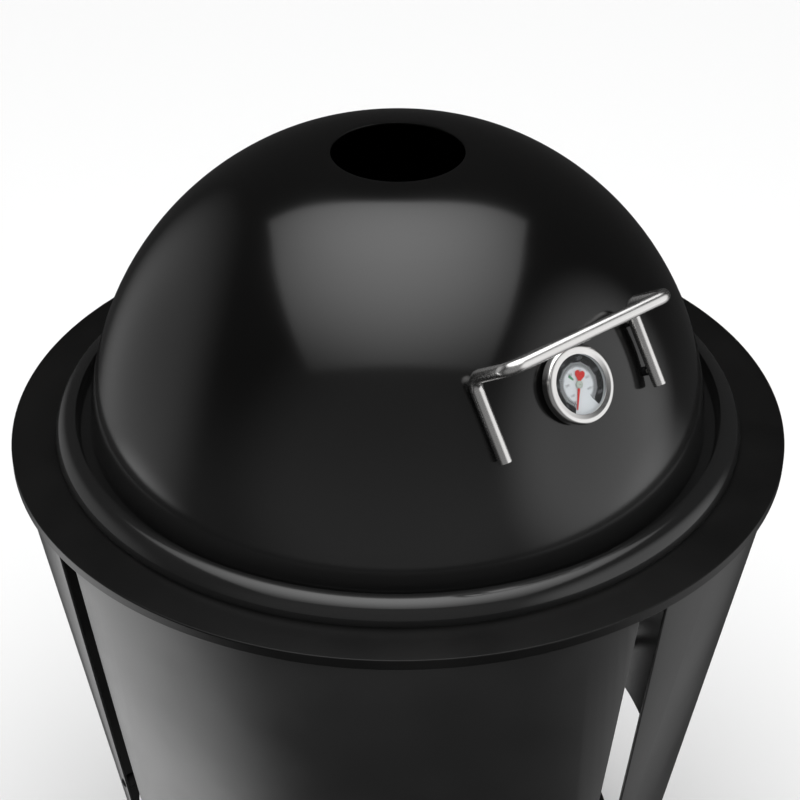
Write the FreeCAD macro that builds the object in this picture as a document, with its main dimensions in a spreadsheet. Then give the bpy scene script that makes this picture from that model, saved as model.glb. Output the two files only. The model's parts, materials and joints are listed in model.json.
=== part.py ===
"""Round wood-fired griddle with a domed lid: a ring-shaped hot plate on a tapered drum.

The frame stands on the floor at z = 0 with the drum's axis on Z. The lid's handle and thermometer
face -Y, and a leg stands behind each of the four gaps between the side panels, at -Y, +X, +Y and -X.
All sizes are in millimetres and live in the sheet "dim".
"""

import FreeCAD, Part

import math
import os
import re

import Sketcher
from FreeCAD import Placement, Rotation, Vector

QUARTERS = [("front", 0), ("right", 90), ("back", 180), ("left", 270)]
PANELS = [("front_right", 0), ("back_right", 90), ("back_left", 180), ("front_left", 270)]
Z_AXIS = Vector(0, 0, 1)

SIZES = {
    # hot plate
    "plate_radius": 380,
    "plate_top": 640,
    "plate_thick": 10,
    "plate_chamfer": 0.6,
    "mouth_radius": 160,
    "rebate_width": 8,
    "rebate_drop": 5,
    "lug_width": 30,
    "lug_depth": 12,
    "lug_drop": 4,
    "seat_play": 1.5,
    # drum
    "plate_overhang": 6,
    "drum_taper": 0.17,
    "panel_wall": 3,
    "panel_gap": 32,
    "panel_low": 150,
    "panel_shadow": 3,
    "ring_play": 5,
    "ring_inset": 15,
    "ring_thick": 6,
    "leg_width": 60,
    "leg_thick": 10,
    "leg_recess": 34,
    "foot_length": 76,
    "foot_width": 44,
    "foot_thick": 6,
    "pad_thick": 4,
    "pad_inset": 5,
    "shelf_top": 60,
    "shelf_thick": 4,
    "bracket_reach": 32,
    "bracket_drop": 26,
    "bracket_wall": 3,
    # fire chamber and what it holds
    "chamber_play": 4.4,
    "chamber_floor": 200,
    "chamber_wall": 3,
    "flange_width": 36,
    "ledge_width": 20,
    "grate_bar": 7,
    "grate_pitch": 20,
    "grate_rim": 9,
    "fire_grate_radius": 152,
    "fire_grate_thick": 8,
    "pan_play": 8.2,
    "pan_height": 70,
    "pan_slope": 8,
    "pan_wall": 1.5,
    "pan_lip": 5,
    "pull_width": 110,
    "pull_reach": 36,
    "pull_rod": 4,
    # lid
    "rim_inset": 42.5,
    "dome_sink": 8,
    "dome_wall": 2,
    "crown_radius": 218,
    "crown_angle": 31.6,
    "smoke_radius": 62,
    "bead_round": 18.5,
    "bead_drop": 1.5,
    "bead_wrap": 7,
    "valley_height": 4.5,
    "valley_width": 10.5,
    "rim_width": 34.5,
    # lid handle
    "handle_latitude": 34,
    "handle_roll": 2.6,
    "handle_half": 90,
    "handle_leg": 39,
    "handle_reach": 58.5,
    "handle_rod": 6,
    "handle_bend": 13,
    "handle_lift": 3,
    "spacer_radius": 4.2,
    "handle_screw_span": 48,
    "handle_screw": 2.5,
    # thermometer
    "gauge_latitude": 33.2,
    "case_lift": 2,
    "case_depth": 10,
    "case_wall": 1,
    "bezel_radius": 35,
    "bezel_wall": 2,
    "bezel_lip": 9.5,
    "bezel_crown": 1.6,
    "dial_height": 7,
    "dial_thick": 0.8,
    "lens_height": 10.6,
    "lens_thick": 1.3,
    "spindle_radius": 1,
    "hub_radius": 3.6,
    "needle_length": 23,
    "needle_width": 1.6,
    "needle_tail": 9,
    "needle_angle": 153,
    "needle_height": 8.6,
    "nipple_radius": 5,
    "nipple_length": 12,
    "probe_radius": 3,
    "probe_length": 78,
    # fits and fasteners
    "slack": 0.3,
    "running": 0.05,
    "screw_radius": 3,
    "screw_end": 5,
    "bush_radius": 6.5,
    "screw_head": 5.5,
    "screw_inset": 7,
    "screw_row_high": 300,
    "screw_row_low": 185,
    "stud_radius": 3,
    "stud_length": 14,
    "nut_radius": 6,
    "nut_thick": 5,
}

DERIVED = {
    "plate_low": "plate_top - plate_thick",
    "drum_radius": "plate_radius - plate_overhang",
    "rebate_radius": "mouth_radius + rebate_width",
    "ring_low": "plate_low - ring_thick",
    "panel_top": "plate_low - panel_shadow",
    "panel_inner": "drum_radius - panel_wall",
    "ring_outer": "panel_inner - ring_play",
    "ring_inner": "chamber_radius + ring_inset",
    "panel_height": "panel_top - panel_low",
    "lean": "drum_taper * sqrt(0.5)",
    "foot_top": "pad_thick + foot_thick",
    "leg_half": "leg_width / 2",
    # the leg's face is a straight line set back from the panels, taken at the ring and at the panels' foot
    "face_drop": "panel_top - ring_low",
    "face_high": "sqrt(panel_inner^2 - (leg_half + lean * face_drop)^2) - lean * face_drop - leg_recess",
    "face_low": "sqrt(panel_inner^2 - (leg_half + lean * panel_height)^2) - lean * panel_height - leg_recess",
    "leg_slope": "(face_high - face_low) / (ring_low - panel_low)",
    "face_foot": "face_high - leg_slope * (ring_low - foot_top)",
    "screw_length": "panel_wall + leg_recess + leg_thick + screw_end",
    "shelf_low": "shelf_top - shelf_thick",
    "leg_back_at_shelf": "face_high - leg_slope * (ring_low - shelf_low) - leg_thick",
    "shelf_radius": "leg_back_at_shelf - slack",
    "bracket_low": "shelf_low - bracket_drop",
    "leg_back_at_bracket": "face_high - leg_slope * (ring_low - bracket_low) - leg_thick",
    # fire chamber: a cone from under the ring down to the ledge that carries the fire grate
    "chamber_foot": "fire_grate_radius + seat_play + chamber_wall",
    "flange_outer": "face_high - leg_thick - chamber_play",
    "chamber_radius": "flange_outer - flange_width",
    "stud_circle": "(ring_inner + flange_outer) / 2",
    "ash_pan_top": "shelf_top + pan_height",
    # the pan slides out between two legs: its lip clears their inner corners
    "leg_back_at_pan": "face_high - leg_slope * (ring_low - shelf_top) - leg_thick",
    "pan_radius": "(leg_back_at_pan - leg_half) * sqrt(0.5) - pan_lip - pan_play",
    # lid: its rim stands inside the plate's edge, and the dome inside the rim
    "brim_radius": "plate_radius - rim_inset",
    "dome_radius": "brim_radius - rim_width",
    "dome_centre": "plate_top - dome_sink",
    "crown_centre_out": "(dome_radius - crown_radius) * sin(crown_angle)",
    "crown_centre_up": "dome_centre + (dome_radius - crown_radius) * cos(crown_angle)",
    "smoke_offset": "smoke_radius - crown_centre_out",
    "smoke_top": "crown_centre_up + sqrt(crown_radius^2 - smoke_offset^2)",
    "crown_inside": "crown_radius - dome_wall",
    "dome_inside": "dome_radius - dome_wall",
    "smoke_under": "crown_centre_up + sqrt(crown_inside^2 - smoke_offset^2)",
    "valley_out": "sqrt(dome_radius^2 - (valley_height + dome_sink)^2)",
    "valley_in": "sqrt(dome_inside^2 - (valley_height - dome_wall + dome_sink)^2)",
    "valley_edge": "valley_out + valley_width",
    "bead_centre": "brim_radius - bead_round",
    "bead_up": "plate_top + bead_drop",
    "bead_inside": "bead_round - dome_wall",
    # handle: the legs lie just clear of the dome, so their axes sink below its highest point
    "leg_axis_out": "dome_radius + handle_lift + handle_rod",
    "leg_axis_up": "sqrt(leg_axis_out^2 - handle_half^2) - dome_radius",
    "grip_up": "leg_axis_up + handle_reach",
    # thermometer: heights above the dome where the gauge sits
    "case_radius": "bezel_radius - bezel_wall",
    "case_top": "case_lift + case_depth",
    "nut_circle": "nipple_radius * 2.1",
    "washer_radius": "nut_circle + 1",
    "washer_top": "-dome_wall - washer_radius^2 / (2 * (dome_inside)) - slack / 3",
    "washer_thick": "1.2",
    "nut_top": "washer_top - washer_thick",
}

NAMES = set(SIZES) | set(DERIVED)

doc = FreeCAD.newDocument("fire_drum_griddle")
sheet = doc.addObject("Spreadsheet::Sheet", "dim")


def fill_sheet():
    """One row for each size: its name, and its value or formula under that name."""
    rows = [(name, str(value)) for name, value in SIZES.items()]
    rows += [(name, "=" + formula) for name, formula in DERIVED.items()]
    for row, (name, content) in enumerate(rows, start=1):
        sheet.set(f"A{row}", name)
        sheet.set(f"B{row}", content)
        sheet.setAlias(f"B{row}", name)
    doc.recompute()


def number(expression):
    """The present value of an expression on the sheet's names."""
    result = sheet.evalExpression(str(expression))
    return float(getattr(result, "Value", result))


def bind(thing, **expressions):
    """Ties properties to expressions on the sheet; a double underscore stands for a dot."""
    for prop, expression in expressions.items():
        bind_path(thing, prop.replace("__", "."), expression)


def bind_path(thing, path, expression):
    def spelled(word):
        return "dim." + word.group() if word.group() in NAMES else word.group()

    thing.setExpression(path, re.sub(r"[a-z]\w*", spelled, str(expression)))


# Sketches


def new_body(label):
    body = doc.addObject("PartDesign::Body", label)
    body.Label = label
    return body


def origin_feature(body, role):
    return next(item for item in body.Origin.OriginFeatures if item.Role == role)


def new_sketch(body, name, plane, height="0"):
    """A sketch on one of the body's own origin planes, raised along the plane's normal."""
    sketch = body.newObject("Sketcher::SketchObject", f"{body.Name}_{name}")
    sketch.AttachmentSupport = [(origin_feature(body, plane), "")]
    sketch.MapMode = "FlatFace"
    bind(sketch, AttachmentOffset__Base__z=height)
    return sketch


def fix(sketch, name, kind, expression, *where):
    """A named dimension of the sketch, tied to the sheet."""
    place = sketch.addConstraint(Sketcher.Constraint(kind, *where, number(expression)))
    sketch.renameConstraint(place, name)
    bind_path(sketch, f"Constraints.{name}", expression)


def arc_of(centre, radius, start, finish, turn):
    """An arc from start to finish, and which of its ends is the start: arcs always run anticlockwise."""
    circle = Part.Circle(centre, Z_AXIS, radius)
    first = math.atan2(start.y - centre.y, start.x - centre.x)
    last = math.atan2(finish.y - centre.y, finish.x - centre.x)
    if turn == "left":
        return Part.ArcOfCircle(circle, first, last), 1, 2
    return Part.ArcOfCircle(circle, last, first), 2, 1


def draw_outline(sketch, corners, tag="p"):
    """A closed outline through corners (across, up), each tied to the sheet.

    A corner may add an arc for the edge that leaves it: (radius, centre across, centre up, turn).
    """
    spots = [Vector(number(corner[0]), number(corner[1]), 0) for corner in corners]
    edges = []
    for place, corner in enumerate(corners):
        start = spots[place]
        finish = spots[(place + 1) % len(spots)]
        shape, first, last = Part.LineSegment(start, finish), 1, 2
        if len(corner) == 3:
            radius, across, up, turn = corner[2]
            centre = Vector(number(across), number(up), 0)
            shape, first, last = arc_of(centre, number(radius), start, finish, turn)
        edges.append((sketch.addGeometry(shape), first, last))
    for place, (edge, first, _) in enumerate(edges):
        before, _, end = edges[place - 1]
        sketch.addConstraint(Sketcher.Constraint("Coincident", before, end, edge, first))
        fix(sketch, f"{tag}{place}x", "DistanceX", corners[place][0], -1, 1, edge, first)
        fix(sketch, f"{tag}{place}y", "DistanceY", corners[place][1], -1, 1, edge, first)
        if len(corners[place]) == 3:
            fix(sketch, f"{tag}{place}r", "Radius", corners[place][2][0], edge)


def draw_circle(sketch, across, up, radius, tag="c"):
    centre = Vector(number(across), number(up), 0)
    edge = sketch.addGeometry(Part.Circle(centre, Z_AXIS, number(radius)))
    fix(sketch, f"{tag}x", "DistanceX", across, -1, 1, edge, 3)
    fix(sketch, f"{tag}y", "DistanceY", up, -1, 1, edge, 3)
    fix(sketch, f"{tag}r", "Radius", radius, edge)


def box_corners(left, right, low, high):
    return [(left, low), (right, low), (right, high), (left, high)]


# Features


def turned(label, corners):
    """A body turned about Z from an outline of (radius, height) corners."""
    body = new_body(label)
    sketch = new_sketch(body, "outline", "XZ_Plane")
    draw_outline(sketch, corners)
    turn = body.newObject("PartDesign::Revolution", f"{label}_turn")
    turn.Profile = sketch
    turn.ReferenceAxis = (sketch, ["V_Axis"])
    turn.Angle = 360
    doc.recompute()
    return body


def pad(body, sketch, length, centred=False):
    solid = body.newObject("PartDesign::Pad", f"{sketch.Name}_pad")
    solid.Profile = sketch
    bind(solid, Length=length)
    solid.Midplane = centred
    doc.recompute()
    return solid


def pocket(body, sketch, length=None):
    """A cut down from the sketch, through everything where no length is given."""
    before = body.Shape.Volume
    cut = body.newObject("PartDesign::Pocket", f"{sketch.Name}_pocket")
    cut.Profile = sketch
    if length is None:
        cut.Type = "ThroughAll"
    else:
        bind(cut, Length=length)
    doc.recompute()
    if body.Shape.Volume >= before:
        raise RuntimeError(f"{cut.Name} cuts nothing")
    return cut


def polar(body, feature, count):
    """Copies of a feature, evenly spaced round the body's Z axis."""
    pattern = body.newObject("PartDesign::PolarPattern", f"{feature.Name}_polar")
    pattern.Originals = [feature]
    pattern.Axis = (origin_feature(body, "Z_Axis"), [""])
    pattern.Angle = 360
    pattern.Occurrences = count
    body.Tip = pattern
    doc.recompute()
    return pattern


def drilled(label, solid, axes, radius, low, high):
    """The solid with a round hole along each axis, from low to high on that axis."""
    solid.Label = label + "_blank"
    tool = doc.addObject("Part::Feature", label + "_drill")
    reach = number(high) - number(low)
    bits = [axis_cylinder(axis, number(radius), number(low), reach) for axis in axes]
    tool.Shape = Part.makeCompound(bits)
    cut = doc.addObject("Part::Cut", label)
    cut.Base = solid
    cut.Tool = tool
    cut.Label = label
    doc.recompute()
    return cut


def axis_cylinder(axis, radius, low, length):
    shape = Part.makeCylinder(radius, length, Vector(0, 0, low))
    shape.Placement = axis
    return shape


def group(label, shapes):
    """Separate identical solids in one named sub-part."""
    feature = doc.addObject("Part::Feature", label)
    feature.Shape = Part.makeCompound(shapes)
    feature.Label = label
    return feature


def axis_at(spot, direction):
    """A placement whose Z runs from the spot along the direction."""
    return Placement(spot, Rotation(Z_AXIS, direction))


def round_z(degrees):
    return Placement(Vector(), Rotation(Z_AXIS, degrees))


# Hot plate and cooking grate


def griddle_plate():
    return turned(
        "griddle_plate",
        [
            ("mouth_radius", "plate_low"),
            ("plate_radius - plate_chamfer", "plate_low"),
            ("plate_radius", "plate_low + plate_chamfer"),
            ("plate_radius", "plate_top - plate_chamfer"),
            ("plate_radius - plate_chamfer", "plate_top"),
            ("rebate_radius", "plate_top"),
            ("rebate_radius", "plate_top - rebate_drop"),
            ("mouth_radius", "plate_top - rebate_drop"),
        ],
    )


def plate_lugs():
    """Blocks under the plate that drop inside the ring and centre it."""
    body = new_body("plate_lugs")
    sketch = new_sketch(body, "outline", "XY_Plane", "plate_low - lug_drop")
    outer = "ring_inner - seat_play"
    across = box_corners("-lug_width / 2", "lug_width / 2", f"-({outer})", f"lug_depth - ({outer})")
    draw_outline(sketch, across)
    polar(body, pad(body, sketch, "lug_drop"), 4)
    return body


def grate(label, radius, low, thick):
    """A round grate: a rim, and parallel bars trimmed to it."""
    body = new_body(label)
    rim = new_sketch(body, "rim", "XY_Plane", low)
    draw_circle(rim, "0", "0", radius, "outer")
    draw_circle(rim, "0", "0", f"{radius} - grate_rim", "inner")
    pad(body, rim, thick)
    reach = number(f"{radius} - grate_rim")
    pitch = number("grate_pitch")
    steps = int(reach / pitch)
    bars = new_sketch(body, "bars", "XY_Plane", low)
    first = f"-{steps} * grate_pitch"
    half = "grate_bar / 2"
    draw_outline(bars, box_corners(f"{first} - {half}", f"{first} + {half}", f"-({radius})", radius))
    bar = pad(body, bars, thick)
    row = body.newObject("PartDesign::LinearPattern", f"{label}_row")
    row.Originals = [bar]
    row.Direction = (bars, ["H_Axis"])
    bind(row, Length=f"{2 * steps} * grate_pitch")
    row.Occurrences = 2 * steps + 1
    body.Tip = row
    doc.recompute()
    trim = new_sketch(body, "trim", "XY_Plane", f"{low} + {thick}")
    draw_circle(trim, "0", "0", radius, "inner")
    draw_circle(trim, "0", "0", f"2 * ({radius})", "outer")
    pocket(body, trim)
    return body


def cooking_grate():
    low = "plate_top - rebate_drop"
    return grate("cooking_grate", "rebate_radius - seat_play", low, "rebate_drop")


# Drum


def top_ring():
    ring = turned("top_ring", box_corners("ring_inner", "ring_outer", "ring_low", "plate_low"))
    return ring


def screw_axes(x_side):
    """Axes of one panel edge's screws beside the front leg, square to the panel's outer face."""
    radius = number("drum_radius")
    taper = number("drum_taper")
    lean = number("lean")
    beside = number("leg_half - screw_inset")
    axes = []
    for row in ("screw_row_high", "screw_row_low"):
        drop = number(f"panel_top - {row}")
        across = beside + lean * drop
        out = -math.sqrt(radius**2 - across**2)
        spot = Vector(x_side * beside, out + lean * drop, number(row))
        facing = (across - out) * math.sqrt(0.5) / radius
        normal = Vector(x_side * across / radius, out / radius, -taper * facing)
        axes.append(axis_at(spot, normal))
    return axes


def side_panel(label, degrees):
    """A rolled sheet, leaning in as it goes down, cut square along the gap at each end."""
    body = new_body(label)
    sheet_outline = new_sketch(body, "outline", "XY_Plane", "panel_top")
    edge = "panel_gap / 2"
    outer_end = f"sqrt(drum_radius^2 - ({edge})^2)"
    inner_end = f"sqrt(panel_inner^2 - ({edge})^2)"
    draw_outline(
        sheet_outline,
        [
            (edge, f"-{outer_end}", ("drum_radius", "0", "0", "left")),
            (outer_end, f"-{edge}"),
            (inner_end, f"-{edge}", ("panel_inner", "0", "0", "right")),
            (edge, f"-{inner_end}"),
        ],
    )
    sheet_pad = body.newObject("PartDesign::Pad", f"{label}_sheet")
    sheet_pad.Profile = sheet_outline
    sheet_pad.UseCustomVector = True
    sheet_pad.AlongSketchNormal = True
    bind(sheet_pad, Direction__x="-lean", Direction__y="lean", Direction__z="-1", Length="panel_height")
    doc.recompute()
    ends = new_sketch(body, "ends", "XY_Plane", "panel_top")
    far = "plate_radius"
    draw_outline(
        ends,
        [(f"-{far}", f"-{far}"), (edge, f"-{far}"), (edge, f"-{edge}"), (far, f"-{edge}"), (far, far), (f"-{far}", far)],
    )
    pocket(body, ends)
    near_front = screw_axes(1)
    near_right = [round_z(90) * axis for axis in screw_axes(-1)]
    hole = "screw_radius + slack / 2"
    panel = drilled(label, body, near_front + near_right, hole, "-3 * panel_wall", "screw_head")
    panel.Placement = round_z(degrees)
    return panel


def panel_screws():
    """Button-head screws, two rows beside every leg, on both sides of it."""
    radius = number("screw_radius")
    head = number("screw_head")
    shank = axis_cylinder(Placement(), radius, -number("screw_length"), number("screw_length"))
    cap = Part.makeSphere(head, Vector(0, 0, -head / 2), Z_AXIS, 30, 90, 360)
    rim = Part.makeCylinder(head * math.cos(math.radians(30)), number("slack"))
    screw = shank.fuse([cap, rim]).removeSplitter()
    shapes = []
    for _, degrees in QUARTERS:
        for axis in screw_axes(1) + screw_axes(-1):
            copy = screw.copy()
            copy.Placement = round_z(degrees) * axis
            shapes.append(copy)
    return group("panel_screws", shapes)


def panel_bushes():
    """Tubes on the panel screws that hold the panels off the legs, cut to the slope of the leg's face."""
    depth = 2 * number("leg_recess")
    start = -number("panel_wall + running")
    tube = Part.makeCylinder(number("bush_radius"), depth, Vector(0, 0, start - depth))
    tube = tube.cut(Part.makeCylinder(number("screw_radius + running"), depth, Vector(0, 0, start - depth)))
    high = Vector(0, -number("face_high"), number("ring_low"))
    foot = Vector(0, -number("face_foot"), number("foot_top"))
    ahead = Vector(0, -2 * depth, 0)
    side = Part.Face(Part.makePolygon([high, foot, foot + ahead, high + ahead, high]))
    width = Vector(number("leg_width"), 0, 0)
    before_leg = side.extrude(width)
    before_leg.translate(width * -0.5)
    shapes = []
    for axis in screw_axes(1) + screw_axes(-1):
        bush = tube.copy()
        bush.Placement = axis
        bush = bush.common(before_leg)
        for _, degrees in QUARTERS:
            copy = bush.copy()
            copy.Placement = round_z(degrees) * copy.Placement
            shapes.append(copy)
    return group("panel_bushes", shapes)


def leg(label, degrees):
    """A flat bar that follows the drum's taper behind the gap between two panels."""
    body = new_body(label)
    sketch = new_sketch(body, "side", "YZ_Plane")
    draw_outline(
        sketch,
        [
            ("-face_high", "ring_low"),
            ("-face_foot", "foot_top"),
            ("leg_thick - face_foot", "foot_top"),
            ("leg_thick - face_high", "ring_low"),
        ],
    )
    pad(body, sketch, "leg_width", centred=True)
    post = drilled(label, body, screw_axes(1) + screw_axes(-1), "screw_radius + running", "-2 * screw_length", "0")
    post.Placement = round_z(degrees)
    return post


def four_blocks(label, length, width, low, thick):
    """Flat blocks centred under the four legs."""
    body = new_body(label)
    sketch = new_sketch(body, "outline", "XY_Plane", low)
    centre = "(leg_thick / 2 - face_foot)"
    outline = box_corners(f"-({length}) / 2", f"({length}) / 2", f"{centre} - ({width}) / 2", f"{centre} + ({width}) / 2")
    draw_outline(sketch, outline)
    polar(body, pad(body, sketch, thick), 4)
    return body


def base_shelf():
    return turned("base_shelf", box_corners("0", "shelf_radius", "shelf_low", "shelf_top"))


def shelf_brackets():
    """Angles welded behind the legs: one arm runs down the leg, the other carries the shelf."""
    body = new_body("shelf_brackets")
    sketch = new_sketch(body, "side", "YZ_Plane")
    draw_outline(
        sketch,
        [
            ("-leg_back_at_shelf", "shelf_low"),
            ("-leg_back_at_bracket", "bracket_low"),
            ("bracket_wall - leg_back_at_bracket", "bracket_low"),
            ("bracket_wall - leg_back_at_shelf", "shelf_low - bracket_wall"),
            ("bracket_reach - leg_back_at_shelf", "shelf_low - bracket_wall"),
            ("bracket_reach - leg_back_at_shelf", "shelf_low"),
        ],
    )
    polar(body, pad(body, sketch, "leg_half", centred=True), 4)
    return body


# Fire chamber, fire grate and ash pan


def fire_chamber():
    body = turned(
        "fire_chamber",
        [
            ("chamber_foot - ledge_width", "chamber_floor"),
            ("chamber_foot", "chamber_floor"),
            ("chamber_radius", "ring_low - chamber_wall"),
            ("flange_outer", "ring_low - chamber_wall"),
            ("flange_outer", "ring_low"),
            ("chamber_radius - chamber_wall", "ring_low"),
            ("chamber_foot - chamber_wall", "chamber_floor + chamber_wall"),
            ("chamber_foot - ledge_width", "chamber_floor + chamber_wall"),
        ],
    )
    holes = new_sketch(body, "holes", "XY_Plane", "ring_low")
    draw_circle(holes, "0", "-stud_circle", "stud_radius + slack")
    polar(body, pocket(body, holes, "2 * chamber_wall"), 8)
    return body


def chamber_studs():
    body = new_body("chamber_studs")
    sketch = new_sketch(body, "shank", "XY_Plane", "ring_low - stud_length")
    draw_circle(sketch, "0", "-stud_circle", "stud_radius")
    polar(body, pad(body, sketch, "stud_length"), 8)
    return body


def hexagon(label, centre_y, height, radius, bore):
    """A sketch of a hexagon nut's plan, with its bore."""
    body = new_body(label)
    sketch = new_sketch(body, "plan", "XY_Plane", height)
    corners = []
    for step in range(6):
        across = f"({radius}) * cos({60 * step})"
        up = f"({radius}) * sin({60 * step}) + ({centre_y})"
        corners.append((across, up))
    draw_outline(sketch, corners)
    draw_circle(sketch, "0", centre_y, bore)
    return body, sketch


def chamber_nuts():
    height = "ring_low - chamber_wall - nut_thick"
    body, sketch = hexagon("chamber_nuts", "-stud_circle", height, "nut_radius", "stud_radius + running")
    polar(body, pad(body, sketch, "nut_thick"), 8)
    return body


def fire_grate():
    low = "chamber_floor + chamber_wall"
    return grate("fire_grate", "fire_grate_radius", low, "fire_grate_thick")


def ash_pan():
    """A round pressed pan with a turned-out lip."""
    foot = "pan_radius - pan_slope"
    return turned(
        "ash_pan",
        [
            ("0", "shelf_top"),
            (foot, "shelf_top"),
            ("pan_radius", "ash_pan_top - pan_wall"),
            ("pan_radius + pan_lip", "ash_pan_top - pan_wall"),
            ("pan_radius + pan_lip", "ash_pan_top"),
            ("pan_radius - pan_wall", "ash_pan_top"),
            (f"{foot} - pan_wall", "shelf_top + pan_wall"),
            ("0", "shelf_top + pan_wall"),
        ],
    )


def bent_rod(points, rod, bend):
    """A round rod along straight runs joined by arcs of one radius."""
    path = []
    start = points[0]
    for before, corner, after in zip(points, points[1:], points[2:]):
        back = (before - corner).normalize()
        ahead = (after - corner).normalize()
        half = back.getAngle(ahead) / 2
        away = bend / math.tan(half)
        middle = (back + ahead).normalize() * (bend / math.sin(half) - bend)
        path.append(Part.LineSegment(start, corner + back * away).toShape())
        arc = Part.Arc(corner + back * away, corner + middle, corner + ahead * away)
        path.append(arc.toShape())
        start = corner + ahead * away
    path.append(Part.LineSegment(start, points[-1]).toShape())
    ring = Part.Circle(points[0], points[1] - points[0], rod).toShape()
    return Part.Wire(path).makePipeShell([Part.Wire(ring)], True, False)


def ash_pan_pull():
    """A bent rod welded across the pan's front, which faces between the front and left legs."""
    rod = number("pull_rod")
    half = number("pull_width / 2")
    height = number("ash_pan_top - pan_height / 2")
    wall = number("pan_radius - pan_slope / 2")
    bulge = wall + rod * number("pan_slope / pan_height")
    start = math.sqrt(bulge**2 - (half - rod) ** 2) + number("slack")
    out = wall + number("pull_reach")
    points = [
        Vector(-half, -start, height),
        Vector(-half, -out, height),
        Vector(half, -out, height),
        Vector(half, -start, height),
    ]
    pull = doc.addObject("Part::Feature", "ash_pan_pull")
    pull.Shape = bent_rod(points, rod, 2 * rod)
    pull.Placement = round_z(-45)
    pull.Label = "ash_pan_pull"
    return pull


# Lid


def handle_axes():
    """Axes of the handle's screws, square to the dome, in the frame where the handle sits."""
    centre = Vector(0, 0, -number("dome_radius"))
    axes = []
    for x_side in (-1, 1):
        for y_side in (-1, 1):
            spot = Vector(x_side * number("handle_half"), y_side * number("handle_screw_span / 2"), number("leg_axis_up"))
            outward = (spot - centre).normalize()
            axes.append(axis_at(centre + outward * number("dome_radius"), outward))
    return axes


def on_dome(latitude):
    """Where the dome's front meets a latitude; X is level, Y climbs the dome and Z points out of it."""
    angle = math.radians(number(latitude))
    radius = number("dome_radius")
    spot = Vector(0, -radius * math.cos(angle), number("dome_centre") + radius * math.sin(angle))
    return Placement(spot, Rotation(Vector(1, 0, 0), 90 - number(latitude)))


def on_handle():
    """The handle's own place on the dome, turned a little off level as it is on the real lid."""
    return on_dome("handle_latitude") * Placement(Vector(), Rotation(Z_AXIS, number("handle_roll")))


def place_on_dome(piece, latitude):
    piece.Placement = on_dome(latitude)
    bind(
        piece,
        Placement__Base__y=f"-dome_radius * cos({latitude})",
        Placement__Base__z=f"dome_centre + dome_radius * sin({latitude})",
        Placement__Rotation__Angle=f"90 - {latitude}",
    )


def lid_dome():
    body = turned(
        "lid_dome",
        [
            ("smoke_radius", "smoke_under"),
            ("smoke_radius", "smoke_top", ("crown_radius", "crown_centre_out", "crown_centre_up", "right")),
            (
                "dome_radius * sin(crown_angle)",
                "dome_centre + dome_radius * cos(crown_angle)",
                ("dome_radius", "0", "dome_centre", "right"),
            ),
            ("valley_out", "plate_top + valley_height"),
            ("valley_edge", "plate_top + valley_height"),
            (
                "bead_centre - bead_round * sin(bead_wrap)",
                "bead_up + bead_round * cos(bead_wrap)",
                ("bead_round", "bead_centre", "bead_up", "right"),
            ),
            ("brim_radius", "bead_up"),
            ("brim_radius", "plate_top"),
            ("brim_radius - dome_wall", "plate_top"),
            ("brim_radius - dome_wall", "bead_up", ("bead_inside", "bead_centre", "bead_up", "left")),
            ("bead_centre", "bead_up + bead_inside"),
            ("valley_edge + dome_wall", "plate_top + valley_height - dome_wall"),
            ("valley_in", "plate_top + valley_height - dome_wall", ("dome_inside", "0", "dome_centre", "left")),
            (
                "dome_inside * sin(crown_angle)",
                "dome_centre + dome_inside * cos(crown_angle)",
                ("crown_inside", "crown_centre_out", "crown_centre_up", "left"),
            ),
        ],
    )
    screws = [on_handle() * axis for axis in handle_axes()]
    dome = drilled("lid_dome", body, screws, "handle_screw + slack / 2", "-3 * dome_wall", "dome_wall")
    dome.Label = "lid_dome_drilled"
    return drilled("lid_dome", dome, [on_dome("gauge_latitude")], "nipple_radius + slack", "-3 * dome_wall", "dome_wall")


def lid_handle():
    """A rod bent to a staple: legs down the dome, then out from it, then level across as the grip."""
    half = number("handle_half")
    leg_end = number("handle_leg")
    low = number("leg_axis_up")
    high = number("grip_up")
    points = [
        Vector(-half, -leg_end, low),
        Vector(-half, leg_end, low),
        Vector(-half, leg_end, high),
        Vector(half, leg_end, high),
        Vector(half, leg_end, low),
        Vector(half, -leg_end, low),
    ]
    rod = bent_rod(points, number("handle_rod"), number("handle_bend"))
    reach = number("handle_lift + handle_rod + handle_screw")
    holes = [axis_cylinder(axis, number("handle_screw + running"), 0, reach) for axis in handle_axes()]
    handle = doc.addObject("Part::Feature", "lid_handle")
    handle.Shape = rod.cut(holes)
    handle.Placement = on_handle()
    handle.Label = "lid_handle"
    return handle


def handle_spacers():
    """Short bushes that keep the rod off the enamel."""
    bore = number("handle_screw + running")
    gap = number("slack / 3")
    bush = Part.makeCylinder(number("spacer_radius"), number("handle_lift") - gap, Vector(0, 0, gap))
    bush = bush.cut(Part.makeCylinder(bore, number("handle_lift")))
    return placed_group("handle_spacers", bush, handle_axes(), on_handle())


def handle_screws():
    """Screws from inside the dome into the handle's legs."""
    radius = number("handle_screw")
    length = number("handle_lift + handle_rod + handle_screw") - number("slack")
    seat = number("dome_wall + slack")
    head = Part.makeCylinder(2 * radius, radius, Vector(0, 0, -seat - radius))
    shank = Part.makeCylinder(radius, length + seat, Vector(0, 0, -seat))
    return placed_group("handle_screws", head.fuse(shank), handle_axes(), on_handle())


def placed_group(label, shape, axes, frame):
    shapes = []
    for axis in axes:
        copy = shape.copy()
        copy.Placement = axis
        shapes.append(copy)
    feature = group(label, shapes)
    feature.Placement = frame
    return feature


# Thermometer, each piece drawn standing on the dome at the gauge's place


def gauge_piece(label, corners):
    body = turned(label, corners)
    place_on_dome(body, "gauge_latitude")
    return body


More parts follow.
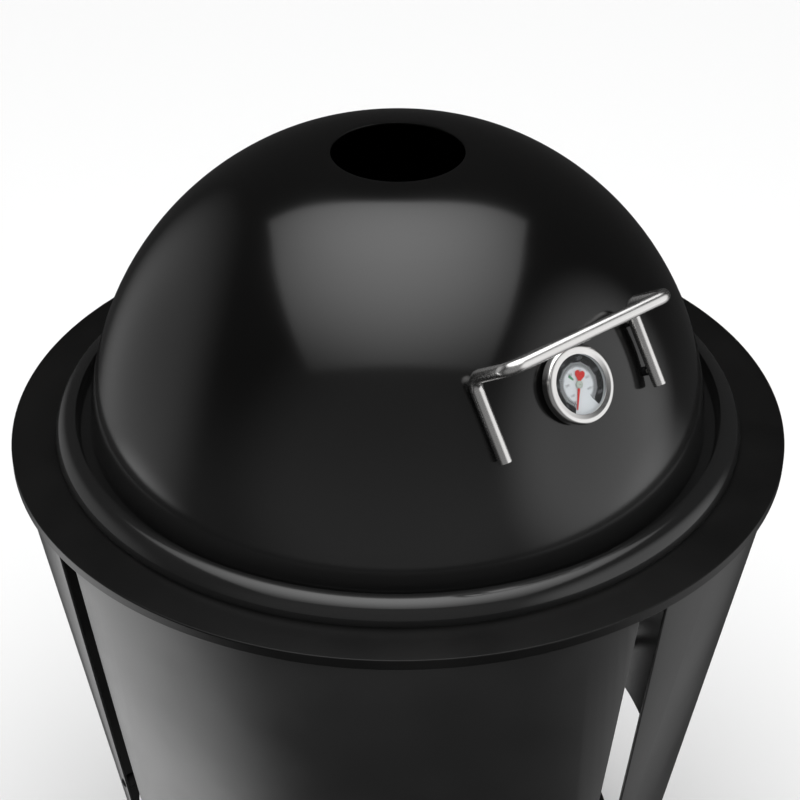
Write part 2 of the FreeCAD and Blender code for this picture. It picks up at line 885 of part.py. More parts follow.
def gauge_case():
    inside = "case_radius - case_wall"
    corners = [
        ("0", "case_lift"),
        ("case_radius", "case_lift"),
        ("case_radius", "case_top"),
        (inside, "case_top"),
        (inside, "case_lift + case_wall"),
        ("0", "case_lift + case_wall"),
    ]
    return gauge_piece("gauge_case", corners)


def gauge_bezel():
    """The polished ring: a skirt round the case and a rounded lip over the glass."""
    bore = "case_radius + running"
    lip = "bezel_radius - bezel_lip"
    corners = [
        (bore, "case_lift + bezel_crown"),
        ("bezel_radius", "case_lift + bezel_crown"),
        ("bezel_radius", "case_top", ("bezel_crown", "bezel_radius - bezel_crown", "case_top", "left")),
        ("bezel_radius - bezel_crown", "case_top + bezel_crown"),
        (lip, "case_top + bezel_crown"),
        (lip, "case_top"),
        (bore, "case_top"),
    ]
    return gauge_piece("gauge_bezel", corners)


def gauge_bush():
    """The bearing on the case's floor that carries the dial and guides the spindle."""
    corners = box_corners("spindle_radius + running", "hub_radius", "case_lift + case_wall", "dial_height")
    return gauge_piece("gauge_bush", corners)


def gauge_dial():
    rim = "case_radius - case_wall - running"
    corners = box_corners("spindle_radius + running", rim, "dial_height", "dial_height + dial_thick")
    return gauge_piece("gauge_dial", corners)


def gauge_lens():
    rim = "case_radius - case_wall - running"
    corners = box_corners("0", rim, "lens_height", "lens_height + lens_thick")
    return gauge_piece("gauge_lens", corners)


def gauge_spindle():
    corners = box_corners("0", "spindle_radius", "case_lift + case_wall + slack", "needle_height")
    return gauge_piece("gauge_spindle", corners)


def gauge_needle():
    """A slim pointer and its hub, turned to the cold end of the scale."""
    body = new_body("gauge_needle")
    hub = new_sketch(body, "hub", "XY_Plane", "needle_height")
    draw_circle(hub, "0", "0", "hub_radius")
    pad(body, hub, "2 * dial_thick")
    blade = new_sketch(body, "blade", "XY_Plane", "needle_height")
    side = "needle_width / 2"
    tip = "needle_width / 6"
    draw_outline(
        blade,
        [
            (f"-{side}", "-needle_tail"),
            (side, "-needle_tail"),
            (tip, "needle_length"),
            (f"-{tip}", "needle_length"),
        ],
    )
    pad(body, blade, "dial_thick")
    turned_to = Placement(Vector(), Rotation(Z_AXIS, number("needle_angle")))
    body.Placement = on_dome("gauge_latitude") * turned_to
    return body


def gauge_stem():
    """A threaded nipple through the dome and the probe that hangs below it."""
    corners = [
        ("0", "-probe_length"),
        ("probe_radius", "-probe_length"),
        ("probe_radius", "-nipple_length"),
        ("nipple_radius", "-nipple_length"),
        ("nipple_radius", "case_lift"),
        ("0", "case_lift"),
    ]
    return gauge_piece("gauge_stem", corners)


def gauge_gasket():
    corners = box_corners("nipple_radius + running", "washer_radius", "0", "case_lift")
    return gauge_piece("gauge_gasket", corners)


def gauge_washer():
    corners = box_corners("nipple_radius + running", "washer_radius", "nut_top", "washer_top")
    return gauge_piece("gauge_washer", corners)


def gauge_nut():
    height = "nut_top - nut_thick"
    body, sketch = hexagon("gauge_nut", "0", height, "nut_circle", "nipple_radius + running")
    pad(body, sketch, "nut_thick")
    place_on_dome(body, "gauge_latitude")
    return body


def build():
    """Every sub-part of the griddle, in the order it is put together."""
    pieces = [leg("leg_" + side, degrees) for side, degrees in QUARTERS]
    pieces += [side_panel("side_panel_" + side, degrees) for side, degrees in PANELS]
    pieces += [
        four_blocks("foot_plates", "foot_length", "foot_width", "pad_thick", "foot_thick"),
        four_blocks("foot_pads", "foot_length - 2 * pad_inset", "foot_width - 2 * pad_inset", "0", "pad_thick"),
        top_ring(),
        base_shelf(),
        shelf_brackets(),
        panel_screws(),
        panel_bushes(),
        fire_chamber(),
        chamber_studs(),
        chamber_nuts(),
        fire_grate(),
        ash_pan(),
        ash_pan_pull(),
        griddle_plate(),
        plate_lugs(),
        cooking_grate(),
        lid_dome(),
        lid_handle(),
        handle_spacers(),
        handle_screws(),
        gauge_case(),
        gauge_bezel(),
        gauge_bush(),
        gauge_dial(),
        gauge_lens(),
        gauge_spindle(),
        gauge_needle(),
        gauge_stem(),
        gauge_gasket(),
        gauge_washer(),
        gauge_nut(),
    ]
    doc.recompute()
    return pieces


def check(pieces):
    """Stops before anything is written if a feature failed or a shape is unsound."""
    for item in doc.Objects:
        if "Invalid" in item.State or "Error" in item.State:
            raise RuntimeError(f"{item.Name} failed: {item.State}")
    for piece in pieces:
        shape = piece.Shape
        if shape.isNull() or not shape.isValid() or not shape.Solids:
            raise RuntimeError(f"{piece.Label} has no sound solid")


def export(pieces):
    os.makedirs("parts", exist_ok=True)
    for piece in pieces:
        piece.Shape.exportStep(os.path.join("parts", piece.Label + ".step"))
        print(f"{piece.Label}: {len(piece.Shape.Solids)} solid(s), {piece.Shape.Volume / 1000:.1f} cm3")


fill_sheet()
parts = build()
check(parts)
export(parts)
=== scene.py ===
import json
import math

import bpy
from mathutils import Matrix, Vector


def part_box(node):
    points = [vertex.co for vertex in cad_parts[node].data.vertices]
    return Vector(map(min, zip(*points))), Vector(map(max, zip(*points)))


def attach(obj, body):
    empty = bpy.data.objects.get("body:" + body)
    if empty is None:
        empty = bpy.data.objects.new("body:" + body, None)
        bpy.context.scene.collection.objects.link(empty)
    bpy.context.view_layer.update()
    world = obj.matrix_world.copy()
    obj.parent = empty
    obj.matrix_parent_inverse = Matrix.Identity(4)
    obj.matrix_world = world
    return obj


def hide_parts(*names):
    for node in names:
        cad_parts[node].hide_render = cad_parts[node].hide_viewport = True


# Looks of a round wood-fired griddle with a domed lid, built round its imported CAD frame.
# Metres throughout. Z is the drum's axis, and the lid's handle and thermometer face -Y.

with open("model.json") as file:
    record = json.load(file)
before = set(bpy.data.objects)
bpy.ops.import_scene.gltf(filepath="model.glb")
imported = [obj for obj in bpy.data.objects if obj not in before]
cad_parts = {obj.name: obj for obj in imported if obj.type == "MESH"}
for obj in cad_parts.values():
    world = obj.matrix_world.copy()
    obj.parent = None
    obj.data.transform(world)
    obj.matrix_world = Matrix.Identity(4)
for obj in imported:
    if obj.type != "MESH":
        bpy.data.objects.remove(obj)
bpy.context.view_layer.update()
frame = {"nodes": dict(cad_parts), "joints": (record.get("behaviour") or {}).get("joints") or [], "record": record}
NODES = frame["nodes"]

MM = 0.001
WELD = 2e-6
HOLD = 0.8 * MM
TURN_STEPS = 192

# Sizes read from the frame
PLATE_LOW, PLATE_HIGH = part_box("griddle_plate")
PLATE_RADIUS = PLATE_HIGH.x
PLATE_TOP = PLATE_HIGH.z
LID_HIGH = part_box("lid_dome")[1]
BRIM_RADIUS = LID_HIGH.x
SMOKE_TOP = LID_HIGH.z
GRATE_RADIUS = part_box("cooking_grate")[1].x
PANEL_LOW, PANEL_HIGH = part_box("side_panel_front_right")
NEEDLE_JOINT = next(joint for joint in frame["joints"] if joint["name"] == "needle_turn")

# Lid
DOME_RADIUS = 303 * MM
DOME_CENTRE = PLATE_TOP - 8 * MM
CROWN_RADIUS = 218 * MM
CROWN_ANGLE = 31.6
SMOKE_RADIUS = 62 * MM
LID_WALL = 2 * MM
BEAD_ROUND = 18.5 * MM
BEAD_CENTRE = BRIM_RADIUS - BEAD_ROUND
BEAD_UP = PLATE_TOP + 1.5 * MM
BEAD_WRAP = 7
VALLEY_UP = PLATE_TOP + 4.5 * MM
VALLEY_WIDTH = 10.5 * MM
VALLEY_ROUND = 1.6 * MM

# Hot plate
SEAT_PLAY = 1.5 * MM
REBATE_WIDTH = 8 * MM
REBATE_DROP = 5 * MM

# Drum
DRUM_RADIUS = 374 * MM
PANEL_WALL = 3 * MM
DRUM_TAPER = 0.17
GAP_SIDE = PANEL_LOW.x

# Handle, in the frame where the dome meets its latitude
HANDLE_LATITUDE = 34
HANDLE_ROLL = 2.6
HANDLE_HALF = 90 * MM
HANDLE_LEG = 39 * MM
HANDLE_REACH = 58.5 * MM
HANDLE_ROD = 6 * MM
HANDLE_LIFT = 3 * MM
HANDLE_BEND = 13 * MM
LEG_AXIS_UP = math.sqrt((DOME_RADIUS + HANDLE_LIFT + HANDLE_ROD) ** 2 - HANDLE_HALF**2) - DOME_RADIUS
GRIP_UP = LEG_AXIS_UP + HANDLE_REACH

# Thermometer, in its own frame on the dome
BEZEL_RADIUS = 35 * MM
CASE_RADIUS = 33.05 * MM
SKIRT_UP = 3.6 * MM
CASE_TOP = 12 * MM
BEZEL_TOP = 13.6 * MM
WINDOW_RADIUS = 25.5 * MM
DIAL_RADIUS = 31.9 * MM
DIAL_UP = 7 * MM
DIAL_FACE = 7.8 * MM
PRINT = 0.05 * MM
NEEDLE_UP = 8.6 * MM
NEEDLE_ANGLE = 153


# Modelling


def deselect():
    if bpy.context.mode != "OBJECT":
        bpy.ops.object.mode_set(mode="OBJECT")
    bpy.ops.object.select_all(action="DESELECT")


def added(name, edit=True):
    """Names the primitive that was just added, and opens it for editing."""
    thing = bpy.context.object
    thing.name = thing.data.name = name
    if edit:
        bpy.ops.object.mode_set(mode="EDIT")
        bpy.ops.mesh.select_all(action="SELECT")
    return thing


def select_only(thing):
    deselect()
    thing.select_set(True)
    bpy.context.view_layer.objects.active = thing


def weld_and_face_out():
    bpy.ops.mesh.select_all(action="SELECT")
    bpy.ops.mesh.remove_doubles(threshold=WELD)
    bpy.ops.mesh.normals_make_consistent(inside=False)
    bpy.ops.object.mode_set(mode="OBJECT")


def smooth(thing, degrees=32):
    select_only(thing)
    bpy.ops.object.shade_smooth_by_angle(angle=math.radians(degrees))
    return thing


def modified(thing, kind, **settings):
    """Adds a modifier and applies it."""
    select_only(thing)
    bpy.ops.object.modifier_add(type=kind)
    modifier = thing.modifiers[-1]
    for name, value in settings.items():
        setattr(modifier, name, value)
    bpy.ops.object.modifier_apply(modifier=modifier.name)
    return thing


def softened(thing, width, segments=3, degrees=40):
    limit = math.radians(degrees)
    return modified(thing, "BEVEL", width=width, segments=segments, limit_method="ANGLE", angle_limit=limit)


def settled(thing, place):
    """Moves a piece to its place in the mesh, so that its object stays at the origin."""
    thing.matrix_world = place @ thing.matrix_world
    select_only(thing)
    bpy.ops.object.transform_apply(location=True, rotation=True, scale=True)
    return thing


def copied(thing, name):
    select_only(thing)
    bpy.ops.object.duplicate()
    copy = bpy.context.object
    copy.name = copy.data.name = name
    return copy


def joined(name, things):
    deselect()
    for thing in things:
        thing.select_set(True)
    bpy.context.view_layer.objects.active = things[0]
    bpy.ops.object.join()
    things[0].name = things[0].data.name = name
    return things[0]


class Wire:
    """A wire pulled out of one vertex, in the plane where x is across and z is up."""

    def __init__(self, name, across, up):
        deselect()
        bpy.ops.mesh.primitive_plane_add(size=MM)
        self.thing = added(name)
        bpy.ops.mesh.merge(type="CENTER")
        self.pen = Vector((across, 0, up))
        self.start = self.pen.copy()
        bpy.ops.transform.translate(value=self.pen)

    def pull(self, target):
        bpy.ops.mesh.extrude_region_move(TRANSFORM_OT_translate={"value": target - self.pen})
        self.pen = target

    def line(self, across, up):
        """A straight run. A long one keeps a vertex close to each end, which holds the shading flat."""
        target = Vector((across, 0, up))
        run = target - self.pen
        if run.length < WELD:
            return
        if run.length > 4 * HOLD:
            step = run.normalized() * HOLD
            self.pull(self.pen + step)
            self.pull(target - step)
        self.pull(target)

    def arc(self, across, up, degrees, steps):
        """An arc about a centre, anticlockwise where degrees are positive."""
        centre = Vector((across, 0, up))
        bpy.ops.mesh.spin(steps=steps, angle=math.radians(degrees), center=centre, axis=(0, 1, 0))
        self.pen = centre + Matrix.Rotation(-math.radians(degrees), 3, "Y") @ (self.pen - centre)

    def rounded(self, corner, ahead, radius, steps=4):
        """A run up to a corner, and a round of that radius towards the point ahead."""
        corner = Vector((corner[0], 0, corner[1]))
        ahead = Vector((ahead[0], 0, ahead[1]))
        into = (corner - self.pen).normalized()
        away = (ahead - corner).normalized()
        turn = math.atan2(into.x * away.z - into.z * away.x, into.dot(away))
        setback = radius * math.tan(abs(turn) / 2)
        begin = corner - into * setback
        side = math.copysign(1, turn)
        centre = begin + Vector((-into.z, 0, into.x)) * side * radius
        self.line(begin.x, begin.z)
        self.arc(centre.x, centre.z, math.degrees(turn), steps)

    def turned(self, steps=TURN_STEPS):
        """The wire turned all the way round Z."""
        bpy.ops.mesh.select_all(action="SELECT")
        bpy.ops.mesh.remove_doubles(threshold=WELD)
        bpy.ops.mesh.select_all(action="SELECT")
        bpy.ops.mesh.spin(steps=steps, angle=2 * math.pi, center=(0, 0, 0), axis=(0, 0, 1))
        weld_and_face_out()
        return smooth(self.thing)


def turned_ring(name, corners, steps=TURN_STEPS):
    """A closed outline of (across, up, round) corners turned round Z."""
    first, last = corners[0], corners[-1]
    wire = Wire(name, (first[0] + last[0]) / 2, (first[1] + last[1]) / 2)
    for place, (across, up, radius) in enumerate(corners):
        following = corners[place + 1] if place + 1 < len(corners) else (wire.start.x, wire.start.z)
        wire.rounded((across, up), following[:2], radius)
    wire.line(wire.start.x, wire.start.z)
    return wire.turned(steps)


def flat_shape(name, points, low, thick):
    """A thin plate cut to an outline in the XY plane."""
    deselect()
    bpy.ops.mesh.primitive_plane_add(size=MM)
    thing = added(name)
    bpy.ops.mesh.merge(type="CENTER")
    pen = Vector((points[0][0], points[0][1], low))
    bpy.ops.transform.translate(value=pen)
    for across, along in points[1:]:
        target = Vector((across, along, low))
        bpy.ops.mesh.extrude_region_move(TRANSFORM_OT_translate={"value": target - pen})
        pen = target
    bpy.ops.mesh.select_all(action="SELECT")
    bpy.ops.mesh.edge_face_add()
    bpy.ops.mesh.extrude_region_move(TRANSFORM_OT_translate={"value": (0, 0, thick)})
    weld_and_face_out()
    return thing


def bent_rod(name, points, radius, bend, sides=40, steps=14):
    """A round bar pushed along its runs and spun round its bends."""
    deselect()
    heading = (points[1] - points[0]).normalized()
    facing = Vector((0, 0, 1)).rotation_difference(heading).to_euler()
    bpy.ops.mesh.primitive_circle_add(
        vertices=sides, radius=radius, fill_type="NGON", location=points[0], rotation=facing
    )
    thing = added(name)
    pen = points[0]
    for before, corner, after in zip(points, points[1:], points[2:]):
        into = (corner - before).normalized()
        away = (after - corner).normalized()
        axis = into.cross(away)
        turn = math.atan2(axis.length, into.dot(away))
        setback = bend * math.tan(turn / 2)
        begin = corner - into * setback
        centre = begin + (away - into * into.dot(away)).normalized() * bend
        bpy.ops.mesh.extrude_region_move(TRANSFORM_OT_translate={"value": begin - pen})
        bpy.ops.mesh.spin(steps=steps, angle=-turn, center=centre, axis=axis.normalized())
        pen = corner + away * setback
    bpy.ops.mesh.extrude_region_move(TRANSFORM_OT_translate={"value": points[-1] - pen})
    weld_and_face_out()
    return thing


def on_dome(latitude):
    """The frame where the dome's front meets a latitude: X level, Y up the dome, Z out of it."""
    angle = math.radians(latitude)
    spot = Vector((0, -DOME_RADIUS * math.cos(angle), DOME_CENTRE + DOME_RADIUS * math.sin(angle)))
    return Matrix.Translation(spot) @ Matrix.Rotation(math.pi / 2 - angle, 4, "X")


def on_gauge():
    """The thermometer's frame, whose Z is the needle's axis out of the dome."""
    out = -Vector(NEEDLE_JOINT["axis"]).normalized()
    spot = Matrix.Translation(Vector(NEEDLE_JOINT["pos_m"]))
    return spot @ Matrix.Rotation(math.atan2(-out.y, out.z), 4, "X")


# Finishes


class Shade:
    """A value that changes over a surface. Arithmetic on it adds Math nodes."""

    def __init__(self, finish, socket):
        self.finish = finish
        self.socket = socket

    def worked(self, operation, first, second):
        return self.finish.node("ShaderNodeMath", {"operation": operation}, {0: first, 1: second})

    def __add__(self, other):
        return self.worked("ADD", self, other)

    def __radd__(self, other):
        return self.worked("ADD", other, self)

    def __sub__(self, other):
        return self.worked("SUBTRACT", self, other)

    def __rsub__(self, other):
        return self.worked("SUBTRACT", other, self)

    def __mul__(self, other):
        return self.worked("MULTIPLY", self, other)

    def __rmul__(self, other):
        return self.worked("MULTIPLY", other, self)

    def __truediv__(self, other):
        return self.worked("DIVIDE", self, other)


class Finish:
    """A material mixed from nodes."""

    def __init__(self, name, tree=None):
        if tree is None:
            self.material = bpy.data.materials.new(name)
            self.material.use_nodes = True
            tree = self.material.node_tree
        self.tree = tree
        self.tree.nodes.clear()

    def node(self, kind, settings=None, inputs=None, output=0):
        """A node: its settings first, then the values or links of its sockets."""
        made = self.tree.nodes.new(kind)
        for name, value in (settings or {}).items():
            setattr(made, name, value)
        for name, value in (inputs or {}).items():
            if isinstance(value, Shade):
                self.tree.links.new(value.socket, made.inputs[name])
            else:
                made.inputs[name].default_value = value
        return Shade(self, made.outputs[output]) if made.outputs else None

    def place(self, turn=(0, 0, 0), scale=(1, 1, 1)):
        spot = self.node("ShaderNodeTexCoord", output="Object")
        if turn == (0, 0, 0) and scale == (1, 1, 1):
            return spot
        return self.node("ShaderNodeMapping", {}, {"Vector": spot, "Rotation": turn, "Scale": scale})

    def noise(self, place, scale, detail=2.0, rough=0.5):
        inputs = {"Vector": place, "Scale": scale, "Detail": detail, "Roughness": rough}
        return self.node("ShaderNodeTexNoise", {}, inputs)

    def ramp(self, value, low, high, start=0.0, finish=1.0):
        """The value carried from low..high to start..finish, held at both ends."""
        inputs = {"Value": value, "From Min": low, "From Max": high, "To Min": start, "To Max": finish}
        return self.node("ShaderNodeMapRange", {"clamp": True, "interpolation_type": "SMOOTHSTEP"}, inputs)

    def blend(self, share, first, second):
        """A colour between two, by share."""
        return self.node("ShaderNodeMix", {"data_type": "RGBA"}, {0: share, 6: first, 7: second}, 2)

    def bump(self, height, distance, strength=1.0):
        inputs = {"Height": height, "Distance": distance, "Strength": strength}
        return self.node("ShaderNodeBump", {}, inputs)

    def surface(self, **inputs):
        named = {name.replace("_", " "): value for name, value in inputs.items()}
        return self.node("ShaderNodeBsdfPrincipled", {}, named)

    def done(self, shader):
        self.node("ShaderNodeOutputMaterial", {}, {"Surface": shader})
        return self.material


def grey(value, warm=0.0):
    return (value * (1 + warm), value, value * (1 - warm), 1)


def gloss_enamel():
    """Fired black enamel: deep gloss with a faint orange peel, and painted light: paler low down by the rim,
    blackest near the smoke hole.
    """
    mix = Finish("gloss_enamel")
    place = mix.place()
    peel = mix.noise(place, 420, 2)
    haze = mix.noise(place, 5, 4)
    height = mix.node("ShaderNodeSeparateXYZ", {}, {"Vector": place}, "Z")
    # Painted light: the enamel's tone by height, paler by the rim and blacker up towards the smoke hole, stands in
    # for how the light falls on the dome.
    painted_light_by_height = mix.ramp(height + 0.03 * haze, PLATE_TOP + 0.04, PLATE_TOP + 0.2)
    tint = mix.blend(painted_light_by_height, grey(0.0095), grey(0.0022, 0.02))
    return mix.done(
        mix.surface(
            Base_Color=tint,
            Roughness=mix.ramp(haze, 0.3, 0.7, 0.115, 0.15),
            Normal=mix.bump(peel, 0.000012),
        )
    )


def seasoned_plate():
    """Seasoned hot-plate steel: satin black, with a fine grain and slow cloudy patches."""
    mix = Finish("seasoned_plate")
    place = mix.place()
    grain = mix.noise(place, 1600, 3)
    cloud = mix.noise(place, 7, 5, 0.6)
    tint = mix.blend(mix.ramp(cloud, 0.3, 0.7), grey(0.0028), grey(0.0045, 0.03))
    return mix.done(
        mix.surface(
            Base_Color=tint,
            Specular_IOR_Level=0.2,
            Roughness=mix.ramp(cloud, 0.3, 0.7, 0.27, 0.33) + 0.05 * grain,
            Normal=mix.bump(grain, 0.00003),
        )
    )


def stove_paint(name, tone, rough, grit):
    """Heat-proof black paint sprayed on steel, with the fine grit of the spray."""
    mix = Finish(name)
    place = mix.place()
    spray = mix.noise(place, grit, 3)
    patch = mix.noise(place, 9, 3)
    tint = mix.blend(mix.ramp(patch, 0.3, 0.7), grey(tone * 0.88), grey(tone * 1.1))
    return mix.done(
        mix.surface(
            Base_Color=tint,
            Roughness=mix.ramp(patch, 0.3, 0.7, rough - 0.03, rough + 0.04),
            Normal=mix.bump(spray, 0.00004),
        )
    )


def sooty_steel():
    """The inside of the fire: burnt steel with soot in clouds and a fine scaly bump."""
    mix = Finish("sooty_steel")
    place = mix.place()
    soot = mix.ramp(mix.noise(place, 14, 6, 0.65), 0.38, 0.62)
    scale = mix.noise(place, 260, 4)
    tint = mix.blend(soot, (0.030, 0.028, 0.027, 1), (0.006, 0.006, 0.006, 1))
    return mix.done(
        mix.surface(
            Base_Color=tint,
            Metallic=0.4 - 0.35 * soot,
            Roughness=0.6 + 0.3 * soot,
            Normal=mix.bump(scale, 0.0002),
        )
    )


def cast_iron():
    """Sand-cast iron, oiled and dark, with a pebbly skin."""
    mix = Finish("cast_iron")
    place = mix.place()
    pebble = mix.noise(place, 700, 3, 0.6)
    oil = mix.noise(place, 30, 4)
    tint = mix.blend(mix.ramp(oil, 0.35, 0.65), grey(0.012), grey(0.024, 0.05))
    return mix.done(
        mix.surface(
            Base_Color=tint,
            Roughness=mix.ramp(oil, 0.35, 0.65, 0.42, 0.62),
            Normal=mix.bump(pebble, 0.0002),
        )
    )


def galvanised():
    """Zinc-dipped sheet with its crystal spangle."""
    mix = Finish("galvanised")
    cell = mix.node(
        "ShaderNodeTexVoronoi", {"feature": "F1"}, {"Vector": mix.place(), "Scale": 75}, "Color"
    )
    shade = mix.node("ShaderNodeSeparateColor", {}, {"Color": cell}, "Red")
    return mix.done(
        mix.surface(
            Base_Color=mix.blend(shade, (0.42, 0.43, 0.45, 1), (0.60, 0.61, 0.63, 1)),
            Metallic=1.0,
            Roughness=mix.ramp(shade, 0, 1, 0.28, 0.46),
        )
    )


def bright_steel(name, tone, low, high, along):
    """Drawn or turned stainless: polished, with fine lines that follow the work."""
    mix = Finish(name)
    lines = mix.noise(mix.place(scale=along), 1, 3, 0.6)
    smear = mix.noise(mix.place(), 60, 3)
    return mix.done(
        mix.surface(
            Base_Color=mix.blend(smear, grey(tone * 0.94, 0.01), grey(tone, 0.015)),
            Metallic=1.0,
            Roughness=mix.ramp(lines, 0.3, 0.7, low, high) + 0.05 * smear,
            Normal=mix.bump(lines, 0.000006),
        )
    )


def plated(name, colour, rough):
    """Turned hardware with a plated or blackened skin."""
    mix = Finish(name)
    place = mix.place()
    mark = mix.noise(place, 350, 3)
    darker = tuple(0.72 * part for part in colour[:3]) + (1,)
    return mix.done(
        mix.surface(
            Base_Color=mix.blend(mix.ramp(mark, 0.35, 0.65), darker, colour),
            Metallic=0.9,
            Roughness=mix.ramp(mark, 0.3, 0.7, rough, rough + 0.14),
        )
    )


def printed(name, colour, rough=0.5):
    """Screen-printed ink on the dial, with a very slight mottle."""
    mix = Finish(name)
    mottle = mix.noise(mix.place(), 2500, 2)
    darker = tuple(0.9 * part for part in colour[:3]) + (1,)
    return mix.done(
        mix.surface(
            Base_Color=mix.blend(mottle, darker, colour),
            Specular_IOR_Level=0.12,
            Roughness=mix.ramp(mottle, 0.3, 0.7, rough - 0.04, rough + 0.04),
        )
    )


def clear_glass():
    """The thermometer's flat glass: seen through, with a mirror film that grows at a slant."""
    mix = Finish("clear_glass")
    clear = mix.node("ShaderNodeBsdfTransparent", {}, {"Color": (0.95, 0.96, 0.96, 1)})
    mirror = mix.surface(Base_Color=grey(0.95), Metallic=1.0, Roughness=0.03)
    slant = mix.node("ShaderNodeFresnel", {}, {"IOR": 1.45})
    return mix.done(mix.node("ShaderNodeMixShader", {}, {0: 0.2 * slant, 1: clear, 2: mirror}))


def rubber():
    mix = Finish("rubber")
    dust = mix.noise(mix.place(), 180, 4)
    return mix.done(
        mix.surface(
            Base_Color=mix.blend(mix.ramp(dust, 0.4, 0.7), grey(0.012), grey(0.03, 0.05)),
            Roughness=mix.ramp(dust, 0.3, 0.7, 0.75, 0.9),
            Normal=mix.bump(dust, 0.0001),
        )
    )


FINISHES = {
    "frame_black": stove_paint("frame_black", 0.010, 0.62, 900),
    "panel_black": stove_paint("panel_black", 0.011, 0.33, 1500),
    "plate_black": seasoned_plate(),
    "lid_enamel": gloss_enamel(),
    "chamber_steel": sooty_steel(),
    "grate_iron": cast_iron(),
    "pan_steel": galvanised(),
    "handle_steel": bright_steel("handle_steel", 0.70, 0.17, 0.27, (12, 900, 900)),
    "bezel_steel": bright_steel("bezel_steel", 0.72, 0.08, 0.14, (500, 500, 500)),
    "fastener_steel": plated("fastener_steel", (0.50, 0.49, 0.46, 1), 0.28),
    "fastener_black": plated("fastener_black", (0.03, 0.03, 0.032, 1), 0.38),
    "gauge_brass": plated("gauge_brass", (0.72, 0.50, 0.22, 1), 0.24),
    "dial_print": printed("dial_white", (0.74, 0.75, 0.78, 1)),
    "needle_red": printed("needle_red", (0.62, 0.035, 0.03, 1), 0.35),
    "gauge_glass": clear_glass(),
    "pad_rubber": rubber(),
}
DIAL_BLACK = printed("dial_black", (0.008, 0.008, 0.009, 1))
DIAL_GREY = printed("dial_grey", (0.20, 0.20, 0.22, 1))
DIAL_GREEN = printed("dial_green", (0.10, 0.30, 0.16, 1))
HUB_GREY = printed("hub_grey", (0.46, 0.50, 0.45, 1), 0.3)


def coated(thing, material):
    thing.data.materials.clear()
    thing.data.materials.append(material)
    return thing


def finished(thing, slot, body, *nodes, material=None):
    """Gives a new piece its finish, its body and the CAD nodes that it stands for."""
    if not thing.data.materials:
        coated(thing, material or FINISHES[slot])
    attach(thing, body)
    if nodes:
        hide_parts(*nodes)
    return thing


def finish_cad_nodes():
    for part in frame["record"]["subparts"]:
        node = NODES[part["node"]]
        for slot in node.material_slots:
            slot.material = FINISHES[part["material_slot"]]


# Lid


def lid_shell():
    """The pressed dome: crown, bowl, valley and rolled bead, then its wall and trimmed edges."""
    crown_out = (DOME_RADIUS - CROWN_RADIUS) * math.sin(math.radians(CROWN_ANGLE))
    crown_up = DOME_CENTRE + (DOME_RADIUS - CROWN_RADIUS) * math.cos(math.radians(CROWN_ANGLE))
    mouth_angle = math.degrees(math.asin((SMOKE_RADIUS - crown_out) / CROWN_RADIUS))
    valley_angle = math.degrees(math.acos((VALLEY_UP - DOME_CENTRE) / DOME_RADIUS))
    wrap = math.radians(BEAD_WRAP)
    crest = (BEAD_CENTRE - BEAD_ROUND * math.sin(wrap), BEAD_UP + BEAD_ROUND * math.cos(wrap))
    valley_out = DOME_RADIUS * math.sin(math.radians(valley_angle))
    wire = Wire("lid_shell", SMOKE_RADIUS, SMOKE_TOP)
    wire.arc(crown_out, crown_up, mouth_angle - CROWN_ANGLE, 18)
    wire.arc(0, DOME_CENTRE, CROWN_ANGLE - valley_angle, 48)
    wire.rounded((valley_out + VALLEY_WIDTH, VALLEY_UP), crest, VALLEY_ROUND, 5)
    wire.line(*crest)
    wire.arc(BEAD_CENTRE, BEAD_UP, -90 - BEAD_WRAP, 28)
    wire.line(BRIM_RADIUS, PLATE_TOP)
    shell = wire.turned()
    modified(shell, "SOLIDIFY", thickness=LID_WALL, offset=-1, use_even_offset=True)
    softened(shell, 0.35 * MM, 2, 60)
    return finished(smooth(shell, 40), "lid_enamel", "lid", "lid_dome")


def handle_rod():
    points = [
        Vector((-HANDLE_HALF, -HANDLE_LEG, LEG_AXIS_UP)),
        Vector((-HANDLE_HALF, HANDLE_LEG, LEG_AXIS_UP)),
        Vector((-HANDLE_HALF, HANDLE_LEG, GRIP_UP)),
        Vector((HANDLE_HALF, HANDLE_LEG, GRIP_UP)),
        Vector((HANDLE_HALF, HANDLE_LEG, LEG_AXIS_UP)),
        Vector((HANDLE_HALF, -HANDLE_LEG, LEG_AXIS_UP)),
    ]
    rod = bent_rod("handle_rod", points, HANDLE_ROD, HANDLE_BEND)
    place = on_dome(HANDLE_LATITUDE) @ Matrix.Rotation(math.radians(HANDLE_ROLL), 4, "Z")
    settled(softened(rod, 0.7 * MM, 3, 60), place)
    return finished(smooth(rod, 40), "handle_steel", "lid", "lid_handle")


# Hot plate


def hot_plate():
    """The ring plate with its broken edges and the rebate that the cooking grate sits in."""
    rebate = GRATE_RADIUS + SEAT_PLAY
    mouth = rebate - REBATE_WIDTH
    ledge = PLATE_TOP - REBATE_DROP
    plate = turned_ring(
        "hot_plate",
        [
            (PLATE_RADIUS, PLATE_LOW.z, 0.6 * MM),
            (PLATE_RADIUS, PLATE_TOP, 0.9 * MM),
            (rebate, PLATE_TOP, 0.6 * MM),
            (rebate, ledge, 0.4 * MM),
            (mouth, ledge, 0.6 * MM),
            (mouth, PLATE_LOW.z, 0.6 * MM),
        ],
        256,
    )
    return finished(plate, "plate_black", "griddle", "griddle_plate")


# Drum


